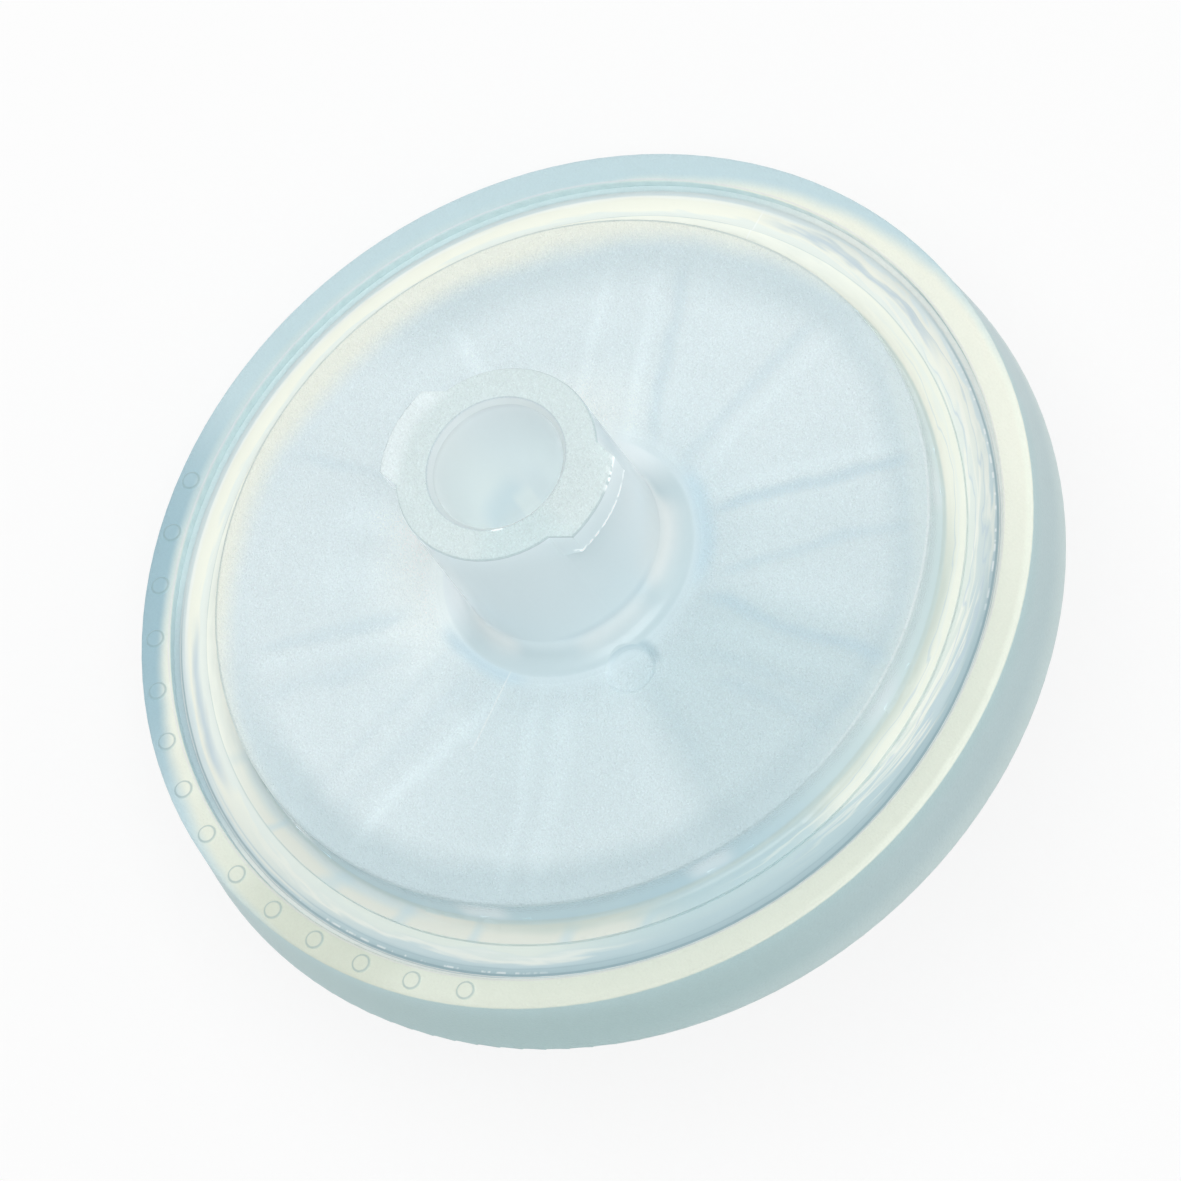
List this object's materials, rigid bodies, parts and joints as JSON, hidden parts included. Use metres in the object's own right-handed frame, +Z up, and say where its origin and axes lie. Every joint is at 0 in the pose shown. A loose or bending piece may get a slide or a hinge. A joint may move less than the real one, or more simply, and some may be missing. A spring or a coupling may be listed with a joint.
{
  "type": "syringe filter",
  "caption": "Round membrane syringe filter of translucent plastic: a clamped filter disc in a moulded ring, with a locking socket hub above and a tapered outlet tip below, lying at rest.",
  "frame": {"origin": "middle of the box of the whole filter, on the surface that it lies on", "axes": "+Z up from the surface, +Y across the filter along the diameter that stays level, -X towards the side on which the ring rests; the filter's own axis leans from +Z towards -X by 32.68 degrees"},
  "size_m": [0.027, 0.0304, 0.0194],
  "materials": {
    "ring_plastic": "translucent matte",
    "inlet_plastic": "translucent, finely grained",
    "membrane": "matt white film",
    "outlet_plastic": "translucent"
  },
  "bodies": {
    "root": {"outer_ring": "ring_plastic", "inlet_housing": "inlet_plastic", "membrane": "membrane", "outlet_housing": "outlet_plastic"}
  },
  "joints": []
}
